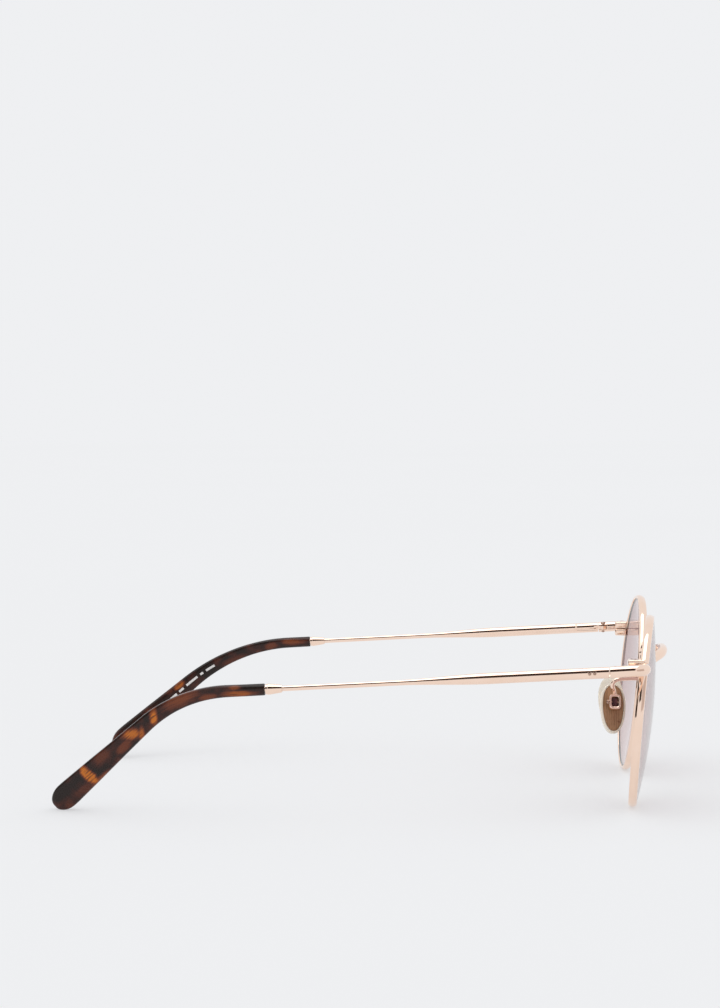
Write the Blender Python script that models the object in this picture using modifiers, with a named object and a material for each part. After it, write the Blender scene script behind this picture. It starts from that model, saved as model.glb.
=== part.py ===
"""Round wire-framed sunglasses with folding temples, in metres, +Z up.

The wearer looks along -Y, the wearer's right is -X, and the glasses stand open on the floor
z = 0, on the bottoms of the rims and the ends of the temples. The origin is the centre of the
footprint. "right" and "left" are the wearer's. Each side is built by the same functions, with
s = -1 for the right and s = +1 for the left.
"""
import math

import bmesh
import bpy
from mathutils import Matrix, Vector

MM = 0.001
SIDES = (("right", -1), ("left", 1))

# Driving dimensions, in millimetres. Y is measured from the hinge seam.
SEAM_Y = -61.25           # the seam plane's place in front of the origin
LENS_WIDTH = 50.0         # marked eye size
BRIDGE_WIDTH = 21.0       # marked distance between lenses
RIM_HALF_W = 25.8         # outside of the eyewire
RIM_HALF_H = 24.3
RIM_THICK = 1.0           # radial
RIM_BAND = 2.1            # front to back
EGG = 0.03                # how much wider the eye is at its top
BASE_RADIUS = 136.0       # 4 base lens curve
PANTO_DEG = 5.1           # the top of the front leans forward
WRAP_DEG = 3.0            # each eye turns outward
EYE_Y = -10.9
EYE_Z = 24.01
EYE_STEPS = 42            # even but not a multiple of 4, so a flat facet lies at the bottom
LENS_THICK = 1.8
GAP = 0.15                # between fitted pieces

HINGE_X = 67.0            # centre of the temple tube at the seam
HINGE_Z = 36.9
TUBE_R = 1.38
END_TUBE_R = 1.43
WIRE_R = 0.65
SLOPE_DEG = 3.18           # the temple falls towards the ear
TUBE_END = 30.0           # where the tube starts to narrow
TAPER_END = 50.0
CORE_END = 122.0
PIVOT_IN = 0.7            # hinge axis inboard of the tube's centre
PIVOT_Y = -1.4
ELBOW_R = 3.1
LEG_Y = -8.6              # the end piece's leg that runs inward to the rim
LEG_END_X = 61.2

FERRULE_Y = (79.4, 83.4)
TIP_START = 83.6
BENDS = {-1: (92.4, 34.9, 42.15), 1: (90.2, 46.6, 40.9)}     # each ear bend: start, radius, degrees
TIP_CENTRE = {-1: 134.8, 1: 135.25}                        # where the rounded end begins
TIP_END_R = 3.2
TIP_END_LONG = 4.7        # the end is half an ellipse, this long
TIP_HALF_THICK = 1.5
TOE_IN = 17.2             # how far the ends of the temples curve inward

PAD_CENTRE = (10.9, -2.2, 21.85)
PAD_SPLAY_DEG = 12.0
PAD_FRONTAL_DEG = 20.0
PAD_HALF_W = 3.3
PAD_HALF_H = 6.65
PAD_THICK = 2.2
BOX_UP = 1.2              # pad box above the pad's centre
BOX_BACK = 2.4            # and behind its middle plane

BLOCK_X = (56.0, 61.0)    # closing block
BLOCK_Y = (-4.6, -8.9)
BLOCK_Z = (35.4, 39.3)
LOCK = (59.9, -6.6, 37.35)    # rim lock screw, and the height of the rim's split
BRIDGE_R = 1.3


# ---------------------------------------------------------------- scene set-up
for old in list(bpy.data.objects):
    bpy.data.objects.remove(old, do_unlink=True)

parts = bpy.data.collections.new("round_wire_sunglasses")
cutters = bpy.data.collections.new("cutters")
bpy.context.scene.collection.children.link(parts)
bpy.context.scene.collection.children.link(cutters)


def material(name, colour, metallic, roughness, alpha=1.0):
    mat = bpy.data.materials.new(name)
    mat.use_nodes = True
    shader = mat.node_tree.nodes["Principled BSDF"]
    shader.inputs["Base Color"].default_value = (*colour, 1.0)
    shader.inputs["Metallic"].default_value = metallic
    shader.inputs["Roughness"].default_value = roughness
    shader.inputs["Alpha"].default_value = alpha
    mat.diffuse_color = (*colour, alpha)
    return mat


ROSE_GOLD = material("rose_gold", (0.86, 0.60, 0.46), 1.0, 0.16)
STEEL = material("screw_steel", (0.55, 0.42, 0.36), 1.0, 0.28)
TINT = material("tinted_lens", (0.42, 0.33, 0.35), 0.0, 0.03, 0.6)
HAVANA = material("havana_acetate", (0.12, 0.035, 0.015), 0.0, 0.22)
CLEAR = material("clear_silicone", (0.90, 0.85, 0.76), 0.0, 0.12, 0.45)
BROWN = material("pad_core_brown", (0.35, 0.19, 0.11), 0.3, 0.35)


def empty(name, parent=None, location=(0, 0, 0), matrix=None):
    obj = bpy.data.objects.new(name, None)
    parts.objects.link(obj)
    obj.empty_display_size = 0.01
    obj.parent = parent
    if matrix is None:
        obj.location = [c * MM for c in location]
    else:
        obj.matrix_local = matrix
    return obj


# ---------------------------------------------------------------- modelling helpers
def place(obj, parent, mat=None):
    """Put an object in the parts, or among the cutters when it has no material."""
    (parts if mat else cutters).objects.link(obj)
    obj.parent = parent
    if mat:
        obj.data.materials.append(mat)
    else:
        obj.hide_render = True
        obj.display_type = "WIRE"
    return obj


def baked(obj):
    """The object's evaluated mesh, with its caps welded and its faces pointing out."""
    bpy.context.scene.collection.objects.link(obj)
    bpy.context.view_layer.update()
    graph = bpy.context.evaluated_depsgraph_get()
    mesh = bpy.data.meshes.new_from_object(obj.evaluated_get(graph))
    bpy.data.objects.remove(obj, do_unlink=True)
    bm = bmesh.new()
    bm.from_mesh(mesh)
    bmesh.ops.remove_doubles(bm, verts=bm.verts, dist=0.000002)
    bmesh.ops.recalc_face_normals(bm, faces=bm.faces)
    bm.to_mesh(mesh)
    bm.free()
    return mesh


def smooth(mesh, angle=35):
    mesh.shade_smooth()
    mesh.set_sharp_from_angle(angle=math.radians(angle))


def tube(name, points, radius, parent, mat=None, radii=None, resolution=4):
    """A wire or tube along points (mm), with 4 + 2 * resolution sides and closed ends."""
    curve = bpy.data.curves.new(name, "CURVE")
    curve.dimensions = "3D"
    curve.bevel_depth = radius * MM
    curve.bevel_resolution = resolution
    curve.use_fill_caps = True
    line = curve.splines.new("POLY")
    line.points.add(len(points) - 1)
    for i, point in enumerate(points):
        line.points[i].co = (*[c * MM for c in point], 1.0)
        line.points[i].radius = radii[i] / radius if radii else 1.0
    mesh = baked(bpy.data.objects.new(name, curve))
    mesh.name = name
    smooth(mesh)
    return place(bpy.data.objects.new(name, mesh), parent, mat)


def turned(name, profile, steps, closed=False):
    """A profile of (radius, height) in mm turned about Z, as a mesh."""
    mesh = bpy.data.meshes.new(name)
    verts = [(r * MM, 0.0, z * MM) for r, z in profile]
    edges = [(i, i + 1) for i in range(len(verts) - 1)]
    if closed:
        edges.append((len(verts) - 1, 0))
    mesh.from_pydata(verts, edges, [])
    obj = bpy.data.objects.new(name, mesh)
    screw = obj.modifiers.new("turn", "SCREW")
    screw.axis = "Z"
    screw.steps = steps
    screw.render_steps = steps
    screw.use_merge_vertices = True
    screw.merge_threshold = 0.000002
    result = baked(obj)
    result.name = name
    return result


def turned_part(name, profile, steps, parent, mat=None, location=(0, 0, 0), rotation=(0, 0, 0)):
    mesh = turned(name, profile, steps)
    smooth(mesh)
    obj = place(bpy.data.objects.new(name, mesh), parent, mat)
    obj.location = [c * MM for c in location]
    obj.rotation_euler = rotation
    return obj


def solid(name, make, parent, mat, location, rotation, **size):
    """A primitive made by a bmesh operator."""
    bm = bmesh.new()
    make(bm, **size)
    mesh = bpy.data.meshes.new(name)
    bm.to_mesh(mesh)
    bm.free()
    obj = place(bpy.data.objects.new(name, mesh), parent, mat)
    obj.location = [c * MM for c in location]
    obj.rotation_euler = rotation
    return obj


def box(name, size, location, parent, mat=None, rotation=(0, 0, 0)):
    scale = Matrix.Diagonal((*[c * MM for c in size], 1.0))
    return solid(name, bmesh.ops.create_cube, parent, mat, location, rotation, size=1.0, matrix=scale)


def cylinder(name, radius, length, location, parent, mat=None, rotation=(0, 0, 0), segments=14):
    obj = solid(name, bmesh.ops.create_cone, parent, mat, location, rotation, cap_ends=True,
                segments=segments, radius1=radius * MM, radius2=radius * MM, depth=length * MM)
    smooth(obj.data)
    return obj


def boolean(obj, other, operation="DIFFERENCE"):
    mod = obj.modifiers.new(other.name, "BOOLEAN")
    mod.operation = operation
    mod.object = other
    mod.solver = "EXACT"
    return obj


def bevel(obj, width, segments=2):
    mod = obj.modifiers.new("round", "BEVEL")
    mod.width = width * MM
    mod.segments = segments
    mod.limit_method = "ANGLE"
    mod.angle_limit = math.radians(40)
    return obj


def flat_shape(name, outline, thickness, rounding, parent, mat=None, z=0.0, resolution=1):
    """A closed outline (mm) filled, given a thickness about z, and rounded at its edges."""
    curve = bpy.data.curves.new(name, "CURVE")
    curve.dimensions = "2D"
    curve.fill_mode = "BOTH"
    curve.extrude = (thickness / 2 - rounding) * MM
    curve.bevel_depth = rounding * MM
    curve.bevel_resolution = resolution
    curve.offset = -rounding * MM
    line = curve.splines.new("POLY")
    line.points.add(len(outline) - 1)
    for i, (x, y) in enumerate(outline):
        line.points[i].co = (x * MM, y * MM, 0.0, 1.0)
    line.use_cyclic_u = True
    mesh = baked(bpy.data.objects.new(name, curve))
    mesh.name = name
    smooth(mesh)
    obj = place(bpy.data.objects.new(name, mesh), parent, mat)
    obj.location = (0.0, 0.0, z * MM)
    return obj


def through(points, per_span=3):
    """Points on a smooth curve (Catmull-Rom) that passes through the given ones."""
    pts = [Vector(p) for p in points]
    pts = [2 * pts[0] - pts[1]] + pts + [2 * pts[-1] - pts[-2]]
    out = []
    for i in range(1, len(pts) - 2):
        a, b, c, d = pts[i - 1:i + 3]
        for k in range(per_span):
            t = k / per_span
            out.append(0.5 * (2 * b + (c - a) * t + (2 * a - 5 * b + 4 * c - d) * t ** 2
                              + (3 * b - a - 3 * c + d) * t ** 3))
    out.append(pts[-2])
    return out


# ---------------------------------------------------------------- frames of reference
root = empty("frame_root", None, (0, SEAM_Y, 0))


def eye_frame(side, s):
    """x to the wearer's left, y up the lens, z out of its front."""
    frame = empty(side + "_eye_frame", root,
                  (s * (LENS_WIDTH + BRIDGE_WIDTH) / 2, EYE_Y, EYE_Z))
    frame.rotation_euler = (math.radians(90 + PANTO_DEG), 0.0, s * math.radians(WRAP_DEG))
    return frame


def pad_axes(s):
    """Columns: fore and aft in the pad's plane, up the pad, and towards the nose."""
    splay = math.radians(PAD_SPLAY_DEG)
    tilt = math.radians(PAD_FRONTAL_DEG)
    nose = Vector((-s * math.cos(splay) * math.cos(tilt), math.sin(splay) * math.cos(tilt), -math.sin(tilt)))
    up = Vector((-nose.z / nose.x, 0.0, 1.0)).normalized()
    return up.cross(nose), up, nose


def pad_frame(side, s):
    """The pad's pivot: in the middle of its box, with the screw along x."""
    fore, up, nose = pad_axes(s)
    centre = Vector((s * PAD_CENTRE[0], PAD_CENTRE[1], PAD_CENTRE[2])) + up * BOX_UP - nose * BOX_BACK
    turn = Matrix((fore, up, nose)).transposed().to_4x4()
    return empty(side + "_pad_pivot", root, matrix=Matrix.Translation(centre * MM) @ turn)


# ---------------------------------------------------------------- eyes
def to_eye(mesh):
    """Stretch a round turned piece to the eye's outline and bend it to the lens curve."""
    for vert in mesh.vertices:
        x, y, z = vert.co / MM
        x, y = x * RIM_HALF_W / RIM_HALF_H * (1 + EGG * y / RIM_HALF_H), y
        z -= (x * x + y * y) / (2 * BASE_RADIUS)
        vert.co = Vector((x, y, z)) * MM
    mesh.update()


def eye_turned(name, profile, closed):
    mesh = turned(name, profile, EYE_STEPS, closed)
    to_eye(mesh)
    smooth(mesh, 30)
    return mesh


inner = RIM_HALF_H - RIM_THICK
half = RIM_BAND / 2
RIM_PROFILE = [
    (inner, -half + 0.1), (inner + 0.1, -half), (RIM_HALF_H - 0.25, -half), (RIM_HALF_H, -half + 0.3),
    (RIM_HALF_H, half - 0.3), (RIM_HALF_H - 0.25, half), (inner + 0.1, half), (inner, half - 0.1),
    (inner, 0.5), (inner + 0.5, 0.0), (inner, -0.5),
]
edge = inner - GAP
LENS_PROFILE = [
    (0.0, LENS_THICK / 2), (9.0, LENS_THICK / 2), (17.0, LENS_THICK / 2), (edge, LENS_THICK / 2),
    (edge, 0.35), (edge + 0.42, 0.0), (edge, -0.35), (edge, -LENS_THICK / 2),
    (17.0, -LENS_THICK / 2), (9.0, -LENS_THICK / 2), (0.0, -LENS_THICK / 2),
]
RELIEF_PROFILE = [
    (0.0, half + 0.2), (RIM_HALF_H + 0.2, half + 0.2), (RIM_HALF_H + 0.2, -half - 0.2), (0.0, -half - 0.2),
]


def eye(side, s):
    frame = eye_frame(side, s)
    rim = place(bpy.data.objects.new(side + "_rim", eye_turned(side + "_rim", RIM_PROFILE, True)),
                frame, ROSE_GOLD)
    split = box(side + "_rim_split", (9.0, 7.0, 0.3), (s * 57.5, -8.2, LOCK[2]), root)
    boolean(rim, split)
    place(bpy.data.objects.new(side + "_lens", eye_turned(side + "_lens", LENS_PROFILE, False)),
          frame, TINT)
    # What the pieces fixed to the rim are cut with, so that they meet it in a saddle.
    name = side + "_rim_relief"
    return place(bpy.data.objects.new(name, eye_turned(name, RELIEF_PROFILE, False)), frame)


def bridge(reliefs):
    """The wire that arches forward and up between the rims."""
    arch = [(-12.6, -10.9, 34.4), (-10.1, -13.0, 35.3), (-7.2, -14.7, 36.1), (-3.8, -15.4, 36.6),
            (0.0, -15.5, 36.75)]
    arch += [(-x, y, z) for x, y, z in reversed(arch[:-1])]
    piece = tube("bridge", through(arch, 2), BRIDGE_R, root, ROSE_GOLD)
    for relief in reliefs:
        boolean(piece, relief)


def closing_block(side, s, relief):
    """The rim's two ends carry a half block each, and a screw draws them together."""
    x0, x1 = BLOCK_X
    y0, y1 = BLOCK_Y
    bore = cylinder(side + "_lock_bore", 0.65, 12.0, (s * LOCK[0], LOCK[1], LOCK[2]), root)
    for part, z0, z1 in (("upper", LOCK[2] + 0.15, BLOCK_Z[1]), ("lower", BLOCK_Z[0], LOCK[2] - 0.15)):
        block = box(side + "_closing_block_" + part, (x1 - x0, y0 - y1, z1 - z0),
                    (s * (x0 + x1) / 2, (y0 + y1) / 2, (z0 + z1) / 2), root, ROSE_GOLD)
        bevel(block, 0.35)
        boolean(block, relief)
        boolean(block, bore)
    turned_part(side + "_rim_lock_screw",
                [(0.0, 3.6), (0.35, 3.6), (0.5, 3.4), (0.5, -0.15), (0.8, -0.15), (0.8, -0.45),
                 (0.6, -0.65), (0.0, -0.65)], 16, root, STEEL, (s * LOCK[0], LOCK[1], BLOCK_Z[0]))


# ---------------------------------------------------------------- temples
def temple_z(s, y):
    """Height of the temple's centre line: a slope, the bend behind the ear, and a steeper slope."""
    start, radius, degrees = BENDS[s]
    a0, a1 = math.radians(SLOPE_DEG), math.radians(degrees)
    if y <= start:
        return HINGE_Z - math.tan(a0) * y
    cy = start - radius * math.sin(a0)
    cz = HINGE_Z - math.tan(a0) * start - radius * math.cos(a0)
    end = cy + radius * math.sin(a1)
    if y <= end:
        return cz + math.sqrt(radius ** 2 - (y - cy) ** 2)
    return cz + radius * math.cos(a1) - math.tan(a1) * (y - end)


def temple_x(y):
    return HINGE_X - TOE_IN * max(0.0, (y - 88.0) / 50.0) ** 1.6


def temple_point(s, y):
    """A point of the centre line, from the temple's pivot."""
    return Vector((s * (temple_x(y) - HINGE_X + PIVOT_IN), y - PIVOT_Y, temple_z(s, y)))


def eased(t):
    return t * t * (3 - 2 * t)


def stepped(table, y):
    """Straight-line interpolation in a table of (y, value)."""
    for (y0, v0), (y1, v1) in zip(table, table[1:]):
        if y <= y1:
            return v0 + (v1 - v0) * max(0.0, (y - y0) / (y1 - y0))
    return table[-1][1]


TIP_HALF_WIDTH = [(TIP_START, 1.45), (92.0, 1.48), (100.0, 1.57), (107.0, 1.76), (114.0, 2.04),
                  (121.0, 2.42), (128.0, 2.87), (134.0, TIP_END_R)]
TIP_SQUARE = [(TIP_START, 2.0), (92.0, 2.6), (100.0, 4.0), (140.0, 4.0)]


def temple_tip(side, s, pivot):
    """The acetate ear piece, lofted from a round neck to a flat paddle with a rounded end."""
    stations = []
    y = TIP_START
    while y < TIP_CENTRE[s] - 0.5:
        stations.append((y, 0.0))
        y += 3.2 if y < 93 else 2.6
    stations += [(TIP_CENTRE[s], TIP_END_LONG * math.sin(math.radians(a))) for a in (0, 22, 42, 60, 75)]
    corners = 12
    bm = bmesh.new()
    rings = []
    for y, past in stations:
        tangent = (temple_point(s, y + 0.2) - temple_point(s, y - 0.2)).normalized()
        centre = temple_point(s, y) + tangent * past
        side_way = Vector((1, 0, 0)) - tangent * tangent.x
        side_way.normalize()
        up_way = side_way.cross(tangent)
        width = stepped(TIP_HALF_WIDTH, y)
        thick = stepped([(TIP_START, 1.35), (95.0, TIP_HALF_THICK), (140.0, TIP_HALF_THICK)], y)
        if past > 0:
            width = TIP_END_R * math.sqrt(1 - (past / TIP_END_LONG) ** 2)
            thick *= (1 - (past / TIP_END_LONG) ** 4) ** 0.25
        power = 2.0 / stepped(TIP_SQUARE, y)
        ring = []
        for k in range(corners):
            a = 2 * math.pi * (k + 0.5) / corners
            c, d = math.cos(a), math.sin(a)
            out = side_way * thick * math.copysign(abs(c) ** power, c)
            out += up_way * width * math.copysign(abs(d) ** power, d)
            ring.append(bm.verts.new((centre + out) * MM))
        rings.append(ring)
    for a, b in zip(rings, rings[1:]):
        for k in range(corners):
            n = (k + 1) % corners
            bm.faces.new((a[k], a[n], b[n], b[k]))
    bm.faces.new(rings[0])
    bm.faces.new(rings[-1])
    bmesh.ops.recalc_face_normals(bm, faces=bm.faces)
    mesh = bpy.data.meshes.new(side + "_temple_tip")
    bm.to_mesh(mesh)
    bm.free()
    smooth(mesh)
    tip = place(bpy.data.objects.new(side + "_temple_tip", mesh), pivot, HAVANA)
    bore_ys = [TIP_START - 2.0, TIP_START + 3, 90, 94, 97, 100, 103, 106, 109, 112, 116, CORE_END + 0.4]
    bore = tube(side + "_core_bore", [temple_point(s, y) for y in bore_ys], WIRE_R + 0.2, pivot)
    boolean(tip, bore)


def temple(side, s):
    pivot = empty(side + "_temple_pivot", root, (s * (HINGE_X - PIVOT_IN), PIVOT_Y, 0.0))
    ys = [0.15, 15.0, TUBE_END]
    ys += [TUBE_END + (TAPER_END - TUBE_END) * k / 5 for k in range(1, 6)]
    ys += [65.0, 80.0, 90, 94, 97, 100, 103, 106, 109, 112, 116, CORE_END]
    radii = []
    for y in ys:
        t = min(1.0, max(0.0, (y - TUBE_END) / (TAPER_END - TUBE_END)))
        radii.append(TUBE_R + (WIRE_R - TUBE_R) * eased(t))
    arm = tube(side + "_temple", [temple_point(s, y) for y in ys], TUBE_R, pivot, ROSE_GOLD, radii)

    # The hinge tongue sits in a pocket that is open on the temple's inner side and its front end.
    level = HINGE_Z - 0.05
    pocket = box(side + "_tongue_pocket", (4.0, 8.0, 1.9),
                 (s * (PIVOT_IN - (2.0 - 0.75)), 2.6 - PIVOT_Y, level), pivot)
    boolean(arm, pocket)
    tail = box(side + "_hinge_tongue", (1.6, 5.5, 1.6),
               (s * (PIVOT_IN - 0.22), 3.45 - PIVOT_Y, level), pivot, STEEL)
    eye_disc = cylinder(side + "_tongue_eye", 1.0, 1.0, (0, 0, level), pivot)
    neck = box(side + "_tongue_neck", (1.3, 2.6, 1.0), (0, 1.3, level), pivot)
    boolean(tail, neck, "UNION")
    boolean(tail, eye_disc, "UNION")
    boolean(tail, cylinder(side + "_tongue_bore", 0.55, 4.0, (0, 0, level), pivot))
    for part, y in (("front", 3.6), ("rear", 4.8)):
        where = (s * PIVOT_IN, y - PIVOT_Y, temple_z(s, y) + 0.08)
        bore = cylinder(side + "_" + part + "_rivet_bore", 0.46, 4.5, where, pivot,
                        rotation=(0, math.radians(90), 0))
        boolean(arm, bore)
        boolean(tail, bore)
        turned_part(side + "_hinge_rivet_" + part,
                    [(0.0, 1.4), (0.2, 1.38), (0.35, 1.28), (0.35, -1.0), (0.2, -1.08), (0.0, -1.08)],
                    12, pivot, STEEL, where, (0, s * math.radians(90), 0))

    # The collar between the wire and the acetate, turned about the temple's sloping line.
    y0, y1 = FERRULE_Y
    slope = math.radians(90 - SLOPE_DEG)
    turned_part(side + "_ferrule",
                [(0.85, 0.0), (0.95, 0.0), (1.0, 0.25), (1.08, 0.9), (1.28, 2.6), (1.34, 3.2), (1.34, 3.6),
                 (1.24, 3.7), (1.24, y1 - y0), (0.85, y1 - y0), (0.85, 0.0)],
                20, pivot, ROSE_GOLD, temple_point(s, y0), (-(math.pi - slope), 0, 0))
    temple_tip(side, s, pivot)
    return pivot


def end_piece(side, s):
    """The tube that joins the rim to the hinge, with its elbow and the hinge slot."""
    zs = HINGE_Z + math.tan(math.radians(SLOPE_DEG)) * -LEG_Y
    path = [(s * HINGE_X, -0.1, HINGE_Z), (s * HINGE_X, LEG_Y + ELBOW_R, zs - 0.15)]
    for k in range(1, 8):
        a = math.radians(90 * k / 7)
        path.append((s * (HINGE_X - ELBOW_R * (1 - math.cos(a))), LEG_Y + ELBOW_R * (1 - math.sin(a)), zs))
    path.append((s * LEG_END_X, LEG_Y, zs))
    piece = tube(side + "_end_piece", path, END_TUBE_R, root, ROSE_GOLD)
    level = HINGE_Z - 0.05
    slot = box(side + "_hinge_slot", (4.0, 4.2, 1.3), (s * (HINGE_X + 0.45 - 2.0), -0.65, level), root)
    boolean(piece, slot)
    px = HINGE_X - PIVOT_IN
    boolean(piece, cylinder(side + "_screw_bore", 0.5, 6.0, (s * px, PIVOT_Y, level), root))
    boolean(piece, cylinder(side + "_screw_seat", 0.72, 2.0, (s * px, PIVOT_Y, level + 1.92), root))
    corner = box(side + "_corner_relief", (2.0, 2.0, 4.0),
                 (s * (px - 2.35 * math.sin(math.pi / 4)), PIVOT_Y + 2.35 * math.cos(math.pi / 4), level),
                 root, rotation=(0, 0, math.radians(45)))
    boolean(piece, corner)
    turned_part(side + "_hinge_screw",
                [(0.0, 1.5), (0.35, 1.5), (0.6, 1.38), (0.6, 1.07), (0.4, 1.02), (0.4, -1.2), (0.25, -1.33),
                 (0.0, -1.33)], 14, root, STEEL, (s * px, PIVOT_Y, level))


# ---------------------------------------------------------------- nose pads
def pad_outline(inset, count=18):
    out = []
    for k in range(count):
        c, d = math.cos(2 * math.pi * k / count), math.sin(2 * math.pi * k / count)
        c, d = math.copysign(abs(c) ** 0.85, c), math.copysign(abs(d) ** 0.95, d)
        out.append(((PAD_HALF_W - inset) * c * (1 + 0.1 * d), (PAD_HALF_H - inset) * d))
    return out


def nose_pad(side, s, relief):
    pivot = pad_frame(side, s)
    fore, up, nose = pad_axes(s)
    axis_y = (0, math.radians(90), 0)

    arm_end = Vector((s * PAD_CENTRE[0], PAD_CENTRE[1], PAD_CENTRE[2]))
    arm_end += up * (BOX_UP + 2.35) - nose * BOX_BACK
    route = [(s * 11.0, -10.3, 29.9), (s * 11.8, -8.2, 30.0), (s * 13.0, -5.5, 30.05),
             (s * 13.9, -3.4, 29.85), (s * 14.1, -2.3, 29.15), (s * 13.7, -2.1, 28.1),
             (arm_end.x + s * 0.45, arm_end.y + 0.15, arm_end.z + 0.9), arm_end]
    arm = tube(side + "_pad_arm", through(route, 2), 0.55, root, ROSE_GOLD, resolution=3)
    boolean(arm, relief)

    holder = box(side + "_pad_box", (3.1, 4.0, 1.8), (0, 0, 0), pivot, ROSE_GOLD)
    bevel(holder, 0.55)
    boolean(holder, box(side + "_box_mouth", (1.9, 2.6, 4.0), (0, 0, 0), pivot))
    boolean(holder, cylinder(side + "_box_bore", 0.45, 8.0, (0, 0, 0), pivot, rotation=axis_y))
    turned_part(side + "_pad_screw",
                [(0.0, 2.15), (0.4, 2.15), (0.6, 2.0), (0.6, 1.6), (0.33, 1.6), (0.33, -1.5), (0.2, -1.65),
                 (0.0, -1.65)], 12, pivot, STEEL, (0, 0, 0), axis_y)

    # The pad rocks about the screw: its pieces hang from the pivot.
    pad = flat_shape(side + "_nose_pad", pad_outline(0.0), PAD_THICK, 0.45, pivot, CLEAR, resolution=2)
    recess = flat_shape(side + "_pad_recess", pad_outline(0.52), 1.4, 0.05, pivot)
    core = flat_shape(side + "_pad_core", pad_outline(0.7), 0.5, 0.05, pivot, BROWN)
    for obj, z in ((pad, 0.0), (recess, -PAD_THICK / 2), (core, -0.7)):
        obj.location = (0.0, -BOX_UP * MM, (BOX_BACK + z) * MM)
    boolean(pad, recess)
    stud = box(side + "_pad_stud", (1.2, 1.7, 2.35), (0, 0, BOX_BACK - 1.925), pivot)
    boolean(core, stud, "UNION")
    boolean(core, cylinder(side + "_stud_bore", 0.45, 3.0, (0, 0, 0), pivot, rotation=axis_y))


reliefs = []
for side, s in SIDES:
    relief = eye(side, s)
    reliefs.append(relief)
    closing_block(side, s, relief)
    end_piece(side, s)
    temple(side, s)
    nose_pad(side, s, relief)
bridge(reliefs)
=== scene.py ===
"""The looks of the round wire-framed sunglasses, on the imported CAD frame.

Every piece is rebuilt here as a fine surface on the CAD's own dimensions (mm below), and rides
on the same body as the CAD node it stands for. Y is measured from the hinge seam, as in the CAD.
"""
import math

import bmesh
import bpy
from mathutils import Matrix, Vector


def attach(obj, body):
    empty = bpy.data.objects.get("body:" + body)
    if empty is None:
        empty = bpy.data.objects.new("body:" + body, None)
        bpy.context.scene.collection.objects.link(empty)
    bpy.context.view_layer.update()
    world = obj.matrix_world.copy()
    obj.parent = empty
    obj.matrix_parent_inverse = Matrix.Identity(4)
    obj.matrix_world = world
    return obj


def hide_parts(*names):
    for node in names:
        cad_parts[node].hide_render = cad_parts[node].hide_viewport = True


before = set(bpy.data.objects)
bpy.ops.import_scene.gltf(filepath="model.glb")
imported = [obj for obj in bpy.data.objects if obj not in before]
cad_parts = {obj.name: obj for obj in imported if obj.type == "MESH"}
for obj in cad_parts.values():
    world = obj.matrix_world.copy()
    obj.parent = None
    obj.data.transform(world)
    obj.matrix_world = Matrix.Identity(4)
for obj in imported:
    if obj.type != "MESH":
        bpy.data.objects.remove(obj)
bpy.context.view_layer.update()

MM = 0.001
SEAM_Y = -61.25    # the hinge seam in the object's frame
SIDES = (("right", -1), ("left", 1))

# The eyes. The rim's half width, half height, inner edge and half band; the lens's half thickness.
EYE_X, EYE_Y, EYE_Z = 35.5, -10.9, 24.05
RIM_W, RIM_H, RIM_IN, HALF_BAND = 25.8, 24.3, 23.3, 1.05
LENS_HALF = 0.96
EGG, BASE_R = 0.03, 136.0    # how much wider the eye is above, and the radius of the lens curve
PANTO, WRAP = 5.1, 3.0    # degrees
HALF_SPLIT = 0.06    # half the gap where a rim is split
RELIEF = 0.03    # the gap between a rim and what is saddled on it

# Hinges, end pieces and temples. A temple bends from start on, with a radius, through degrees.
HINGE_X, HINGE_Z, SLOPE = 67.0, 36.9, 3.18
LEVEL = HINGE_Z - 0.05
PIVOT_IN, PIVOT_Y = 0.7, -1.4    # the hinge screw, inward of the tube's middle
TUBE_R, END_R, WIRE_R = 1.38, 1.43, 0.65
EDGE_R = 0.08    # how far the tubes' ends are eased
LEG_Y, LEG_END, ELBOW_R, ELBOW_RISE = -8.6, 61.2, 3.1, 0.12
BLOCK_X, BLOCK_Y, BLOCK_Z = (56.0, 61.0), (-4.6, -8.9), (35.4, 39.3)
BLOCK_HALF_GAP = 0.05
LOCK = (59.9, -6.6, 37.35)
RIVETS = (("front", 3.6), ("rear", 4.8))
FERRULE_Y, FERRULE_LONG = 79.4, 4.05
TOE_IN, TOE_START = 17.2, 88.0
BENDS = {-1: (92.4, 34.9, 42.15), 1: (90.2, 46.6, 40.9)}

# Ear tips. Tables of (y, value) along the temple.
TIP_START, TIP_END_R, TIP_END_LONG, CORE_END = 83.6, 3.2, 4.7, 122.0
TIP_CENTRE = {-1: 134.8, 1: 135.25}
TIP_WIDTH = [(TIP_START, 1.45), (92.0, 1.48), (100.0, 1.57), (107.0, 1.76), (114.0, 2.04), (121.0, 2.42),
             (128.0, 2.87), (134.0, TIP_END_R)]
TIP_THICK = [(TIP_START, 1.35), (95.0, 1.5), (140.0, 1.5)]
TIP_SQUARE = [(TIP_START, 2.0), (90.0, 2.5), (100.0, 4.2), (140.0, 4.6)]
DASH_HALF, INK_LIFT = 0.32, 0.012
DASHES = ((111.2, 113.6), (114.4, 115.2), (116.0, 119.0), (119.8, 121.0), (121.7, 123.3))

# Nose pads. The pad's centre, half width and half height; the box's place above and behind it.
PAD_X, PAD_Y, PAD_Z = 10.9, -2.2, 21.85
PAD_SPLAY, PAD_FRONTAL = 12.0, 20.0    # degrees
PAD_W, PAD_H, BOX_UP, BOX_BACK = 3.3, 6.65, 1.2, 2.4


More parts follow.
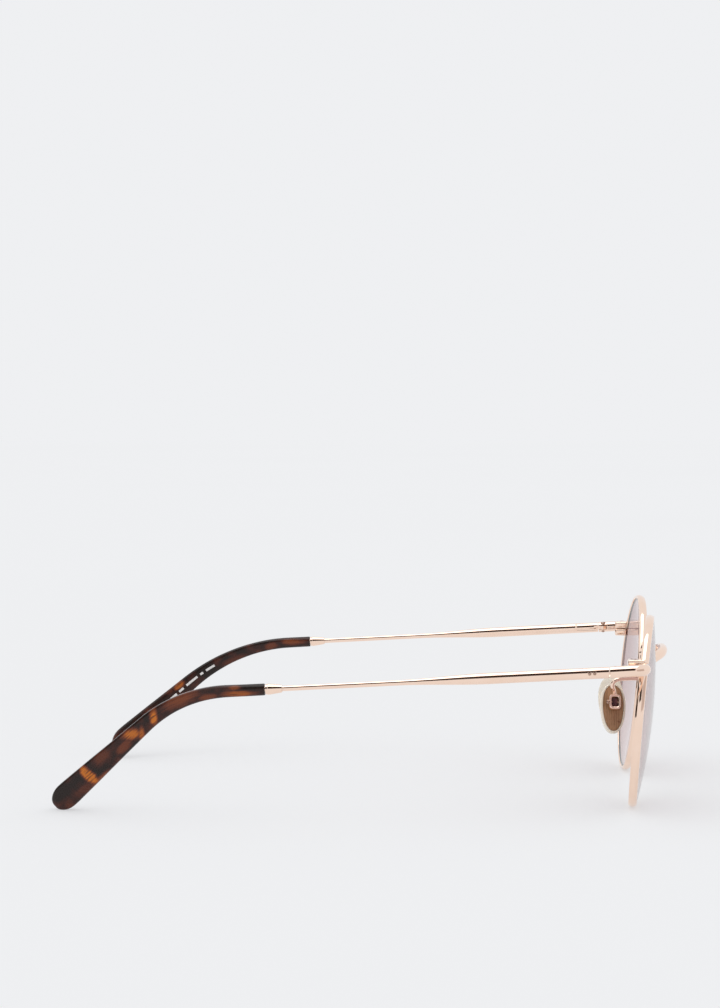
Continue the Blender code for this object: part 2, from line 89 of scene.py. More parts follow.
# ------------------------------------------------------------------ node helpers
class Nodes:
    """A material's node tree, with a Principled shader and short calls to add to it."""

    def __init__(self, name):
        self.mat = bpy.data.materials.new(name)
        self.mat.use_nodes = True
        self.tree = self.mat.node_tree
        self.shader = self.tree.nodes["Principled BSDF"]
        self.out = self.tree.nodes["Material Output"]

    def add(self, kind, inputs=None, **settings):
        node = self.tree.nodes.new(kind)
        for key, value in settings.items():
            setattr(node, key, value)
        for key, value in (inputs or {}).items():
            self.put(node.inputs[key], value)
        return node

    def put(self, socket, value):
        if isinstance(value, bpy.types.NodeSocket):
            self.tree.links.new(value, socket)
        else:
            socket.default_value = value

    def math(self, operation, a, b=0.0):
        return self.add("ShaderNodeMath", {0: a, 1: b}, operation=operation).outputs[0]

    def coords(self, scale=(1, 1, 1), location=(0, 0, 0), uv=None):
        """Object coordinates in metres, or a UV map's."""
        if uv:
            source = self.add("ShaderNodeUVMap", uv_map=uv).outputs[0]
        else:
            source = self.add("ShaderNodeTexCoord").outputs["Object"]
        mapping = self.add("ShaderNodeMapping", {"Vector": source, "Scale": scale, "Location": location})
        return mapping.outputs[0]

    def noise(self, vector, scale, detail=2.0, rough=0.5):
        node = self.add("ShaderNodeTexNoise", {"Vector": vector, "Scale": scale, "Detail": detail,
                                               "Roughness": rough})
        return node.outputs[0]

    def ramp(self, fac, stops):
        node = self.add("ShaderNodeValToRGB", {"Fac": fac})
        elements = node.color_ramp.elements
        while len(elements) < len(stops):
            elements.new(0.5)
        for element, (place, colour) in zip(elements, stops):
            element.position = place
            element.color = (*colour, 1.0)
        return node.outputs[0]

    def range(self, value, lo, hi, to_lo, to_hi, kind="LINEAR"):
        return self.add("ShaderNodeMapRange", {"Value": value, "From Min": lo, "From Max": hi,
                                               "To Min": to_lo, "To Max": to_hi},
                        interpolation_type=kind).outputs[0]

    def mix(self, fac, a, b, blend="MIX"):
        node = self.add("ShaderNodeMix", data_type="RGBA", blend_type=blend)
        self.put(node.inputs[0], fac)
        self.put(node.inputs[6], (*a, 1.0) if isinstance(a, tuple) else a)
        self.put(node.inputs[7], (*b, 1.0) if isinstance(b, tuple) else b)
        return node.outputs[2]

    def bump(self, height, strength, distance):
        node = self.add("ShaderNodeBump", {"Height": height, "Strength": strength, "Distance": distance})
        self.put(self.shader.inputs["Normal"], node.outputs[0])

    def set(self, **values):
        for key, value in values.items():
            self.put(self.shader.inputs[key.replace("_", " ")], value)


def plated_metal(name, light, dark, rough_lo, rough_hi):
    """Polished plating: slight tone drift, and fine lapping marks in its gloss."""
    n = Nodes(name)
    where = n.coords()
    drift = n.noise(where, 160.0, 3.0)
    n.set(Base_Color=n.ramp(drift, [(0.3, dark), (0.7, light)]), Metallic=1.0)
    marks = n.noise(n.coords(scale=(1.0, 0.12, 1.0)), 5200.0, 3.0, 0.6)
    gloss = n.math("ADD", n.math("MULTIPLY", marks, 0.6), n.math("MULTIPLY", drift, 0.4))
    n.set(Roughness=n.range(gloss, 0.3, 0.7, rough_lo, rough_hi))
    n.bump(marks, 0.05, 0.00001)
    return n.mat


LENS_TOP = 0.049    # metres above the floor


def lens_tint():
    """Mauve-brown tint, a touch deeper at the top, with a faint lacquer ripple."""
    n = Nodes("mauve_brown_lens")
    where = n.coords()
    height = n.add("ShaderNodeSeparateXYZ", {0: where}).outputs[2]
    depth = n.range(height, 0.0, LENS_TOP, 0.0, 1.0)
    cloud = n.noise(where, 60.0, 2.0)
    fac = n.math("ADD", depth, n.math("MULTIPLY", n.math("SUBTRACT", cloud, 0.5), 0.06))
    n.set(Base_Color=n.ramp(fac, [(0.0, (0.74, 0.58, 0.565)), (1.0, (0.54, 0.395, 0.40))]),
          Roughness=n.range(cloud, 0.3, 0.7, 0.0, 0.015), IOR=1.25, Transmission_Weight=1.0,
          Specular_Tint=(1.0, 0.95, 0.91, 1.0))
    n.bump(n.noise(where, 240.0, 1.0), 0.01, 0.00001)
    return n.mat


# Amber patches: (along, across, half length, half width, slant, strength), in cm and degrees.
RIGHT_PATCHES = [
    (0.62, -0.07, 0.42, 0.09, 0, 0.80), (0.72, 0.09, 0.16, 0.06, 0, 0.62), (1.45, -0.07, 0.28, 0.10, 0, 0.55),
    (2.10, 0.04, 0.62, 0.20, 0, 0.58), (2.97, -0.02, 0.26, 0.12, -48, 1.05),
    (3.72, 0.04, 0.30, 0.16, 28, 0.95), (3.50, -0.12, 0.22, 0.09, -40, 0.85),
    (4.05, -0.06, 0.30, 0.12, 0, 0.52), (4.75, 0.12, 0.35, 0.18, 0, 0.42),
    (5.37, 0.00, 0.34, 0.15, 84, 1.08), (5.20, -0.26, 0.45, 0.08, 0, 0.60)]
LEFT_PATCHES = [
    (0.45, 0.03, 0.40, 0.11, 0, 0.60), (1.15, -0.03, 0.25, 0.11, 0, 0.52), (2.3, -0.12, 0.5, 0.10, 0, 0.36),
    (4.10, 0.14, 0.20, 0.10, 0, 0.85), (5.3, 0.0, 0.25, 0.25, 0, 0.5)]


def tortoiseshell(name, patches, seed):
    """Dark acetate with amber clouds through it. Its UV is (along, across) the tip in cm."""
    n = Nodes(name)
    uv = n.coords(uv="tip")
    warp = n.noise(n.coords(uv="tip", location=(seed, seed * 0.37, 0.0)), 2.6, 2.0, 0.5)
    streak = n.noise(n.coords(uv="tip", scale=(0.6, 8.0, 1.0), location=(0.0, seed, 0.0)), 3.0, 2.0, 0.6)
    mask = None
    for along, across, length, width, slant, strength in patches:
        local = n.add("ShaderNodeMapping", {"Vector": uv, "Location": (along, across, 0.0),
                                            "Rotation": (0.0, 0.0, math.radians(slant)),
                                            "Scale": (length, width, 1.0)}, vector_type="TEXTURE").outputs[0]
        reach = n.add("ShaderNodeVectorMath", {0: local}, operation="LENGTH").outputs["Value"]
        reach = n.math("ADD", reach, n.math("MULTIPLY", n.math("SUBTRACT", warp, 0.5), 0.9))
        reach = n.math("ADD", reach, n.math("MULTIPLY", n.math("SUBTRACT", streak, 0.5), 0.8))
        spot = n.range(reach, 0.35, 1.45, strength, 0.0, "SMOOTHSTEP")
        mask = spot if mask is None else n.math("MAXIMUM", mask, spot)
    cloud = n.noise(n.coords(uv="tip", scale=(1.0, 1.3, 1.0), location=(seed * 3, 0, 0)), 1.9, 3.0, 0.5)
    mask = n.math("MAXIMUM", mask, n.range(cloud, 0.42, 0.72, 0.0, 0.38, "SMOOTHSTEP"))
    colour = n.ramp(mask, [(0.0, (0.016, 0.0085, 0.0065)), (0.25, (0.050, 0.014, 0.009)),
                           (0.52, (0.135, 0.034, 0.014)), (0.80, (0.31, 0.078, 0.014)),
                           (1.0, (0.53, 0.150, 0.016))])
    fleck = n.range(streak, 0.52, 0.64, 0.0, 0.8, "SMOOTHSTEP")
    fleck = n.math("MULTIPLY", fleck, n.range(mask, 0.4, 0.9, 0.0, 1.0))
    n.set(Base_Color=n.mix(fleck, colour, (0.075, 0.019, 0.008)), IOR=1.36)
    grain = n.noise(n.coords(), 2600.0, 2.0)
    n.set(Roughness=n.range(grain, 0.3, 0.7, 0.22, 0.34))
    n.bump(grain, 0.04, 0.00002)
    return n.mat


def clear_pad():
    """Slightly hazy, creamy silicone."""
    n = Nodes("clear_soft_pad")
    where = n.coords()
    haze = n.noise(where, 420.0, 2.0)
    n.set(Base_Color=n.ramp(haze, [(0.3, (0.99, 0.88, 0.72)), (0.7, (1.0, 0.93, 0.81))]), IOR=1.33,
          Roughness=n.range(haze, 0.3, 0.7, 0.05, 0.14), Transmission_Weight=0.22)
    n.bump(haze, 0.03, 0.00002)
    return n.mat


RIB_PITCH = 0.00062    # metres


def ribbed_core():
    """The brown plate inside a pad, with fine lighter ribs down it."""
    n = Nodes("ribbed_pad_core")
    where = n.coords()
    x = n.add("ShaderNodeSeparateXYZ", {0: where}).outputs[0]
    ribs = n.math("SINE", n.math("MULTIPLY", x, 2 * math.pi / RIB_PITCH))
    cloud = n.noise(where, 380.0, 3.0)
    base = n.ramp(cloud, [(0.25, (0.26, 0.125, 0.062)), (0.75, (0.50, 0.285, 0.150))])
    colour = n.mix(n.range(ribs, -1.0, 1.0, 0.0, 0.30), base, (0.62, 0.40, 0.25))
    n.set(Base_Color=colour, Metallic=0.35, Roughness=n.range(cloud, 0.3, 0.7, 0.26, 0.40))
    n.bump(ribs, 0.35, 0.00008)
    return n.mat


def shade_dark_stud_metal():
    """The stud seen in the mouth of a pad box, coloured near black as painted shade for the mouth's dark
    inside.
    """
    n = Nodes("pad_stud_painted_shade")
    grain = n.noise(n.coords(), 900.0, 3.0)
    n.set(Base_Color=n.ramp(grain, [(0.3, (0.075, 0.032, 0.036)), (0.7, (0.15, 0.07, 0.07))]),
          Metallic=0.7, Roughness=n.range(grain, 0.3, 0.7, 0.2, 0.35))
    n.bump(grain, 0.05, 0.00002)
    return n.mat


def printed_white():
    """Slightly worn white ink."""
    n = Nodes("printed_mark")
    wear = n.noise(n.coords(), 3000.0, 3.0)
    n.set(Base_Color=n.ramp(wear, [(0.3, (0.55, 0.52, 0.50)), (0.6, (0.83, 0.81, 0.79))]), Roughness=0.5)
    return n.mat


ROSE = plated_metal("rose_gold_plating", (1.0, 0.775, 0.640), (0.97, 0.735, 0.590), 0.05, 0.11)
# The screw metal is coloured darker than the plating as painted shade, so that the rivet heads show as dark
# dots.
SCREW = plated_metal("screw_metal_painted_shade", (0.60, 0.42, 0.33), (0.40, 0.26, 0.20), 0.18, 0.34)
TINT = lens_tint()
STUD_PAINTED_SHADE = shade_dark_stud_metal()
CLEAR = clear_pad()
CORE = ribbed_core()
HAVANA = {"right": tortoiseshell("havana_right", RIGHT_PATCHES, 1.7),
          "left": tortoiseshell("havana_left", LEFT_PATCHES, 4.1)}
MARK = printed_white()


# ------------------------------------------------------------------ mesh helpers
def finish_mesh(name, bm, mat, angle=38, matrix=None):
    """The mesh as an object, smooth except where faces meet at more than angle degrees."""
    bmesh.ops.recalc_face_normals(bm, faces=bm.faces)
    mesh = bpy.data.meshes.new(name)
    bm.to_mesh(mesh)
    bm.free()
    mesh.shade_smooth()
    mesh.set_sharp_from_angle(angle=math.radians(angle))
    mesh.materials.append(mat)
    obj = bpy.data.objects.new(name, mesh)
    bpy.context.scene.collection.objects.link(obj)
    if matrix is not None:
        obj.matrix_world = matrix
    return obj


def skin(name, rings, mat, loop=False, caps=True, angle=38, matrix=None, uvs=None):
    """A surface through rings of points in mm. A ring of one point closes to a tip."""
    bm = bmesh.new()
    layer = bm.loops.layers.uv.new("tip") if uvs else None
    rows = [[bm.verts.new(p * MM) for p in ring] for ring in rings]
    spans = list(zip(range(len(rows)), range(1, len(rows))))
    if loop:
        spans.append((len(rows) - 1, 0))
    for i, j in spans:
        a, b = rows[i], rows[j]
        count = max(len(a), len(b))
        for k in range(count):
            m = (k + 1) % count
            if len(a) == 1:
                face = bm.faces.new((a[0], b[k], b[m]))
                where = ((i, 0), (j, k), (j, m))
            elif len(b) == 1:
                face = bm.faces.new((a[k], b[0], a[m]))
                where = ((i, k), (j, 0), (i, m))
            else:
                face = bm.faces.new((a[k], b[k], b[m], a[m]))
                where = ((i, k), (j, k), (j, m), (i, m))
            if layer:
                for corner, (r, c) in zip(face.loops, where):
                    corner[layer].uv = uvs[r][c]
    if caps and not loop:
        for row in (rows[0], rows[-1]):
            if len(row) > 2:
                bm.faces.new(row)
    return finish_mesh(name, bm, mat, angle, matrix)


def along(path, radius, sides, start_up=Vector((0, 0, 1))):
    """Rings round a path. radius is a number or one for each point."""
    rings = []
    up = start_up
    for i, point in enumerate(path):
        tangent = (path[min(i + 1, len(path) - 1)] - path[max(i - 1, 0)]).normalized()
        up = (up - tangent * up.dot(tangent)).normalized()
        side = tangent.cross(up)
        r = radius[i] if isinstance(radius, list) else radius
        rings.append([point + side * (r * math.cos(2 * math.pi * k / sides))
                      + up * (r * math.sin(2 * math.pi * k / sides)) for k in range(sides)])
    return rings


def rounded_ends(path, radius, rounding, last=True):
    """The path and radii with an eased edge at its start, and at its end if last is set."""
    radii = list(radius) if isinstance(radius, list) else [radius] * len(path)
    path = list(path)
    steps = (0, 30, 60, 90)
    way = (path[1] - path[0]).normalized()
    start, r = path[0], radii[0]
    path = [start + way * (rounding * (1 - math.cos(math.radians(a)))) for a in steps] + path[1:]
    radii = [r - rounding + rounding * math.sin(math.radians(a)) for a in steps] + radii[1:]
    if last:
        way = (path[-2] - path[-1]).normalized()
        end, r = path[-1], radii[-1]
        path = path[:-1] + [end + way * (rounding * (1 - math.cos(math.radians(a)))) for a in steps[::-1]]
        radii = radii[:-1] + [r - rounding + rounding * math.sin(math.radians(a)) for a in steps[::-1]]
    return path, radii


def through(points, per_span=10):
    """A smooth curve (Catmull-Rom) through the points."""
    pts = [Vector(p) for p in points]
    pts = [2 * pts[0] - pts[1]] + pts + [2 * pts[-1] - pts[-2]]
    out = []
    for i in range(1, len(pts) - 2):
        a, b, c, d = pts[i - 1:i + 3]
        for k in range(per_span):
            t = k / per_span
            out.append(0.5 * (2 * b + (c - a) * t + (2 * a - 5 * b + 4 * c - d) * t ** 2
                              + (3 * b - a - 3 * c + d) * t ** 3))
    out.append(pts[-2])
    return out


def turned(name, profile, mat, matrix, steps=48, angle=30):
    """A profile of (radius, height) in mm turned about the matrix's Z."""
    rings = []
    for r, z in profile:
        turns = [2 * math.pi * k / steps for k in range(1 if r == 0 else steps)]
        rings.append([Vector((r * math.cos(a), r * math.sin(a), z)) for a in turns])
    return skin(name, rings, mat, loop=profile[0][0] > 0, caps=False, angle=angle, matrix=matrix)


def at(x, y, z):
    """A point given from the seam, in the object's frame, in mm."""
    return Vector((x, y + SEAM_Y, z))


def standing(point, x_turn=0.0, y_turn=0.0, z_turn=0.0):
    """A matrix at the point, turned about X, then Y, then Z."""
    matrix = Matrix.Translation(point * MM)
    for turn, axis in ((z_turn, "Z"), (y_turn, "Y"), (x_turn, "X")):
        matrix = matrix @ Matrix.Rotation(turn, 4, axis)
    return matrix


def block(name, size, matrix, mat, rounding=0.0, segments=4):
    """A box with its edges rounded."""
    bm = bmesh.new()
    bmesh.ops.create_cube(bm, size=1.0, matrix=Matrix.Diagonal((*[c * MM for c in size], 1.0)))
    if rounding:
        bmesh.ops.bevel(bm, geom=list(bm.edges), offset=rounding * MM, segments=segments, affect="EDGES",
                        profile=0.5)
    return finish_mesh(name, bm, mat, 30, matrix)


def rod(name, radius, length, matrix, mat, steps=40):
    """A plain cylinder along the matrix's Z."""
    bm = bmesh.new()
    bmesh.ops.create_cone(bm, cap_ends=True, segments=steps, radius1=radius * MM, radius2=radius * MM,
                          depth=length * MM)
    return finish_mesh(name, bm, mat, 30, matrix)


def carve(obj, cutters, operation="DIFFERENCE"):
    """Cuts the pieces away from obj, or joins or intersects it with them, and removes them."""
    for cutter in cutters:
        mod = obj.modifiers.new("cut", "BOOLEAN")
        mod.operation = operation
        mod.object = cutter
        mod.solver = "EXACT"
    bpy.context.view_layer.update()
    graph = bpy.context.evaluated_depsgraph_get()
    mesh = bpy.data.meshes.new_from_object(obj.evaluated_get(graph))
    obj.modifiers.clear()
    mesh.name = obj.name
    obj.data = mesh
    mesh.set_sharp_from_angle(angle=math.radians(30))
    for cutter in cutters:
        bpy.data.objects.remove(cutter, do_unlink=True)


def stands_for(obj, body, node):
    """Puts obj on the body, in the place of the CAD node."""
    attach(obj, body)
    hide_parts(node)


# ------------------------------------------------------------------ the eyes
def eye_matrix(s):
    """An eye's frame: X to the left, Y up and Z to the front, with the pantoscopic tilt and the wrap."""
    turn = Matrix.Rotation(s * math.radians(WRAP), 4, "Z") @ Matrix.Rotation(math.radians(90 + PANTO), 4, "X")
    return Matrix.Translation(at(s * EYE_X, EYE_Y, EYE_Z)) @ turn


def eye_point(s, r, angle, z):
    """A point at radius r (as measured up the eye) and depth z, bent back with the lens curve."""
    x, y = r * math.cos(angle), r * math.sin(angle)
    x *= RIM_W / RIM_H * (1 + EGG * y / RIM_H)
    return eye_matrix(s) @ Vector((x, y, z - (x * x + y * y) / (2 * BASE_R)))


def dished(name, s, profile, sides, mat, angle=38):
    """A profile of (radius, depth) taken round an eye."""
    rings = []
    for r, z in profile:
        turns = 1 if r == 0 else sides
        rings.append([eye_point(s, r, 2 * math.pi * k / turns, z) for k in range(turns)])
    return skin(name, rings, mat, caps=False, angle=angle)


def arc(cx, cy, r, a0, a1, count):
    """Points (x, y) on an arc, from a0 to a1 degrees."""
    return [(cx + r * math.cos(math.radians(a0 + (a1 - a0) * k / count)),
             cy + r * math.sin(math.radians(a0 + (a1 - a0) * k / count))) for k in range(count + 1)]


def rim_profile():
    """The eyewire's section: a softly crowned band with a V groove inside for the lens."""
    e, crown = 0.25, 0.28
    pts = [(RIM_IN + 0.08, -HALF_BAND)]
    pts += arc(RIM_H - crown - e, -HALF_BAND + e, e, -90, -35, 5)
    for k in range(-6, 7):
        t = k / 6
        pts.append((RIM_H - crown * t * t, t * (HALF_BAND - 0.16)))
    pts += arc(RIM_H - crown - e, HALF_BAND - e, e, 35, 90, 5)
    pts += [(RIM_IN + 0.08, HALF_BAND), (RIM_IN, HALF_BAND - 0.08), (RIM_IN, 0.5), (RIM_IN + 0.5, 0.0),
            (RIM_IN, -0.5), (RIM_IN, -HALF_BAND + 0.08)]
    return pts


def split_angle(s):
    """Where round the eye its rim is split, at the height of the lock."""
    angles = [math.radians(20 + 30 * k / 2000) for k in range(2000)]
    if s < 0:
        angles = [math.pi - a for a in angles]
    return min(angles, key=lambda a: abs(eye_point(s, RIM_H - 0.5, a, 0).z - LOCK[2]))


def rim(side, s):
    """The eyewire, all the way round from one side of the split to the other."""
    start = split_angle(s)
    half_gap = HALF_SPLIT / RIM_H
    section = rim_profile()
    count = 260
    rings = []
    for i in range(count + 1):
        a = start + half_gap + (2 * math.pi - 2 * half_gap) * i / count
        rings.append([eye_point(s, r, a, z) for r, z in section])
    stands_for(skin(side + "_rim_fine", rings, ROSE, angle=50), "front", side + "_rim")


def lens(side, s):
    """The lens, with the bevel round its edge that sits in the rim's groove."""
    edge = RIM_IN - 0.04
    t = LENS_HALF
    profile = [(0.0, t)] + [(edge * k / 12, t) for k in range(1, 12)] + [(edge - 0.12, t), (edge, t - 0.1)]
    profile += [(edge, 0.4), (edge + 0.4, 0.0), (edge, -0.4), (edge, -t + 0.1), (edge - 0.12, -t)]
    profile += [(edge * k / 12, -t) for k in range(11, 0, -1)] + [(0.0, -t)]
    piece = dished(side + "_lens_fine", s, profile, 180, TINT, 30)
    stands_for(piece, "front", side + "_lens")


def rim_relief(s):
    """A disc a little larger than the rim, to cut saddles with."""
    r, z = RIM_H + RELIEF, HALF_BAND + RELIEF
    return dished("relief", s, [(0.0, z), (r, z), (r, -z), (0.0, -z)], 160, ROSE)


def bridge():
    """An arched wire between the rims, saddled on them."""
    arch = [(-12.6, -10.9, 34.4), (-10.1, -13.0, 35.3), (-7.2, -14.7, 36.1), (-3.8, -15.4, 36.6),
            (0.0, -15.5, 36.75)]
    arch += [(-x, y, z) for x, y, z in reversed(arch[:-1])]
    path = [at(*p) for p in through(arch, 8)]
    piece = skin("bridge_fine", along(path, 1.3, 48), ROSE)
    carve(piece, [rim_relief(-1), rim_relief(1)])
    stands_for(piece, "front", "bridge")


def closing_block(side, s):
    """The two halves of the block that closes a rim, and the lock screw sunk into the lower one."""
    (x0, x1), (y0, y1) = BLOCK_X, BLOCK_Y
    lock = at(s * LOCK[0], LOCK[1], LOCK[2])
    below = at(s * LOCK[0], LOCK[1], BLOCK_Z[0])
    up = Vector((0, 0, 1))
    halves = (("upper", LOCK[2] + BLOCK_HALF_GAP, BLOCK_Z[1]),
              ("lower", BLOCK_Z[0], LOCK[2] - BLOCK_HALF_GAP))
    for part, z0, z1 in halves:
        middle = at(s * (x0 + x1) / 2, (y0 + y1) / 2, (z0 + z1) / 2)
        piece = block(side + "_closing_block_" + part + "_fine", (x1 - x0, y0 - y1, z1 - z0),
                      standing(middle), ROSE, 0.42, 5)
        carve(piece, [rim_relief(s), rod("bore", 0.58, 12.0, standing(lock), ROSE),
                      rod("sink", 0.88, 1.3, standing(below), ROSE)])
        stands_for(piece, "front", side + "_closing_block_" + part)
    screw = turned(side + "_rim_lock_screw_fine",
                   [(0.0, 3.2), (0.35, 3.2), (0.5, 3.05), (0.5, -0.05), (0.72, -0.08), (0.8, -0.16),
                    (0.8, -0.4), (0.72, -0.55), (0.5, -0.63), (0.0, -0.65)],
                   SCREW, standing(below + up * 0.6))
    carve(screw, [block("slot", (2.2, 0.22, 0.5), standing(below - up * 0.05, z_turn=0.5), SCREW)])
    stands_for(screw, "front", side + "_rim_lock_screw")


# ------------------------------------------------------------------ end piece, hinge and temple
def temple_z(s, y):
    """The height of a temple's centre line: a slope, an arc and a steeper slope."""
    start, radius, degrees = BENDS[s]
    a0, a1 = math.radians(SLOPE), math.radians(degrees)
    if y <= start:
        return HINGE_Z - math.tan(a0) * y
    cy = start - radius * math.sin(a0)
    cz = HINGE_Z - math.tan(a0) * start - radius * math.cos(a0)
    end = cy + radius * math.sin(a1)
    if y <= end:
        return cz + math.sqrt(radius ** 2 - (y - cy) ** 2)
    return cz + radius * math.cos(a1) - math.tan(a1) * (y - end)


def temple_x(y):
    """Straight back, and then curving inward."""
    return HINGE_X - TOE_IN * max(0.0, (y - TOE_START) / 50.0) ** 1.6


def temple_point(s, y):
    """A point of a temple's centre line."""
    return at(s * temple_x(y), y, temple_z(s, y))


def looked_up(table, y):
    """The value at y in a table of (y, value), on straight lines between its rows."""
    for (y0, v0), (y1, v1) in zip(table, table[1:]):
        if y <= y1:
            t = max(0.0, (y - y0) / (y1 - y0))
            return v0 + (v1 - v0) * t
    return table[-1][1]


def end_piece_path(s):
    """From the seam forward, round the elbow and in to the closing block."""
    leg_z = HINGE_Z + math.tan(math.radians(SLOPE)) * -LEG_Y
    path = [at(s * HINGE_X, -0.1, HINGE_Z)]
    path += [at(s * HINGE_X, -0.1 - k * (-LEG_Y - ELBOW_R) / 12,
                HINGE_Z + (leg_z - ELBOW_RISE - HINGE_Z) * k / 12) for k in range(1, 12)]
    for k in range(25):
        a = math.radians(90 * k / 24)
        path.append(at(s * (HINGE_X - ELBOW_R * (1 - math.cos(a))), LEG_Y + ELBOW_R * (1 - math.sin(a)),
                       leg_z - ELBOW_RISE * (1 - k / 24)))
    path.append(at(s * (LEG_END - 0.1), LEG_Y, leg_z))
    return path


def end_piece(side, s):
    """The elbow tube, slotted for the hinge tongue, and the hinge screw through it."""
    path, radii = rounded_ends(end_piece_path(s), END_R, EDGE_R)
    piece = skin(side + "_end_piece_fine", along(path, radii, 56), ROSE)
    px = s * (HINGE_X - PIVOT_IN)
    pivot = standing(at(px, PIVOT_Y, LEVEL))
    reach = 2.32 * math.sin(math.pi / 4)
    corner = standing(at(px - s * reach, PIVOT_Y + reach, LEVEL), z_turn=math.pi / 4)
    carve(piece, [
        block("slot", (4.0, 4.2, 1.2), standing(at(s * (HINGE_X + 0.45 - 2.0), -0.65, LEVEL)), ROSE),
        rod("bore", 0.46, 6.0, pivot, ROSE),
        rod("seat", 0.68, 2.0, standing(at(px, PIVOT_Y, LEVEL + 1.95)), ROSE),
        block("corner", (2.0, 2.0, 4.0), corner, ROSE)])
    stands_for(piece, "front", side + "_end_piece")
    screw = turned(side + "_hinge_screw_fine",
                   [(0.0, 1.52), (0.36, 1.51), (0.52, 1.44), (0.6, 1.32), (0.6, 1.02), (0.4, 0.97),
                    (0.4, -1.22), (0.3, -1.34), (0.0, -1.36)], SCREW, pivot)
    slot = standing(at(px, PIVOT_Y, LEVEL + 1.52), z_turn=0.7 * s)
    carve(screw, [block("slot", (2.0, 0.18, 0.4), slot, SCREW)])
    stands_for(screw, "front", side + "_hinge_screw")


def temple_arm(side, s, body):
    """The tube, drawn down to a wire that runs on inside the ear tip, with its two rivets."""
    ys = [0.1] + [k * 1.5 for k in range(1, 20)] + [30 + k for k in range(21)]
    ys += [52 + 2.5 * k for k in range(16)] + [CORE_END - 29 + k for k in range(30)]
    radii = []
    for y in ys:
        t = min(1.0, max(0.0, (y - 29.0) / 22.0))
        radii.append(TUBE_R + (WIRE_R - TUBE_R) * t * t * (3 - 2 * t))
    path, radii = rounded_ends([temple_point(s, y) for y in ys], radii, EDGE_R, last=False)
    arm = skin(side + "_temple_fine", along(path, radii, 56), ROSE)
    cuts = [block("pocket", (4.0, 8.0, 1.7), standing(at(s * (HINGE_X + 0.75 - 2.0), 2.6, LEVEL)), ROSE)]
    rivets = []
    for part, y in RIVETS:
        where = standing(at(s * HINGE_X, y, temple_z(s, y) + 0.08), y_turn=s * math.pi / 2)
        cuts.append(rod("bore", 0.5, 4.5, where, ROSE, 28))
        rivet = turned(side + "_hinge_rivet_" + part + "_fine",
                       [(0.0, 1.27), (0.2, 1.26), (0.33, 1.2), (0.38, 1.1), (0.38, -1.05), (0.3, -1.14),
                        (0.0, -1.16)], SCREW, where, 32)
        rivets.append((rivet, side + "_hinge_rivet_" + part))
    carve(arm, cuts)
    stands_for(arm, body, side + "_temple")
    for rivet, node in rivets:
        stands_for(rivet, body, node)


def hinge_tongue(side, s, body):
    """A plate inside the tube, rounded with it, and an eye on the hinge screw."""
    tongue = block(side + "_hinge_tongue_fine", (2.4, 5.5, 1.6),
                   standing(at(s * (HINGE_X - 0.62), 3.45, LEVEL)), ROSE)
    shell = skin("shell", along([temple_point(s, y) for y in (-1.0, 2.0, 8.0)], TUBE_R - 0.01, 56), ROSE)
    carve(tongue, [shell], "INTERSECT")
    px = s * (HINGE_X - PIVOT_IN)
    pivot = standing(at(px, PIVOT_Y, LEVEL))
    carve(tongue, [block("neck", (1.3, 2.6, 1.0), standing(at(px, PIVOT_Y + 1.3, LEVEL)), SCREW),
                   rod("eye", 1.0, 1.0, pivot, SCREW, 48)], "UNION")
    carve(tongue, [rod("bore", 0.5, 4.0, pivot, SCREW)])
    stands_for(tongue, body, side + "_hinge_tongue")


def ferrule(side, s, body):
    """The flared collar between the wire and the ear tip."""
    collar = [(0.72, 0.0), (0.86, 0.0), (0.93, 0.05), (0.97, 0.25), (1.07, 0.9), (1.27, 2.5), (1.34, 3.1),
              (1.36, 3.3), (1.36, 3.5), (1.32, 3.6), (1.26, 3.65), (1.26, FERRULE_LONG), (0.72, FERRULE_LONG)]
    piece = turned(side + "_ferrule_fine", collar, ROSE,
                   standing(temple_point(s, FERRULE_Y), -math.radians(90 + SLOPE)), 56, 28)
    stands_for(piece, body, side + "_ferrule")


def tip_section(s, y, past, corners):
    """One section of the ear tip: its points, how far across each is, its centre, its side and up
    axes and its half thickness. past is how far it is into the rounded end."""
    tangent = (temple_point(s, y + 0.2) - temple_point(s, y - 0.2)).normalized()
    centre = temple_point(s, y) + tangent * past
    side_way = (Vector((1, 0, 0)) - tangent * tangent.x).normalized()
    up_way = side_way.cross(tangent)
    width = looked_up(TIP_WIDTH, y)
    thick = looked_up(TIP_THICK, y)
    if past > 0:
        share = min(1.0, past / TIP_END_LONG)
        width = TIP_END_R * math.sqrt(max(0.0, 1 - share ** 2))
        thick *= (1 - share ** 5) ** 0.3
    if y < TIP_START + 0.25:    # the eased front edge
        width -= 0.06
        thick -= 0.06
    power = 2.0 / looked_up(TIP_SQUARE, y)
    points, across = [], []
    for k in range(corners):
        a = 2 * math.pi * (k + 0.5) / corners
        c, d = math.cos(a), math.sin(a)
        v = width * math.copysign(abs(d) ** power, d)
        points.append(centre + side_way * (thick * math.copysign(abs(c) ** power, c)) + up_way * v)
        across.append(v)
    return points, across, centre, side_way, up_way, thick


def temple_tip(side, s, body):
    """The ear tip, with its UV laid along it in cm."""
    stations = [(TIP_START + 0.02, 0.0), (TIP_START + 0.3, 0.0)]
    stations += [(TIP_START + 0.8 * k, 0.0) for k in range(1, 64)]
    stations = [p for p in stations if p[0] < TIP_CENTRE[s] - 0.3]
    stations += [(TIP_CENTRE[s], TIP_END_LONG * math.sin(math.radians(a))) for a in range(0, 86, 5)]
    corners = 56
    rings, uvs = [], []
    travelled, last = 0.0, None
    for y, past in stations:
        points, across, centre, *_ = tip_section(s, y, past, corners)
        travelled += (centre - last).length if last else 0.0
        last = centre
        rings.append(points)
        uvs.append([(travelled / 10, v / 10) for v in across])
    end = tip_section(s, TIP_CENTRE[s], TIP_END_LONG * 0.9995, corners)[2]
    rings.append([end])
    uvs.append([(travelled / 10, 0.0)])
    tip = skin(side + "_temple_tip_fine", rings, HAVANA[side], angle=60, uvs=uvs)
    stands_for(tip, body, side + "_temple_tip")


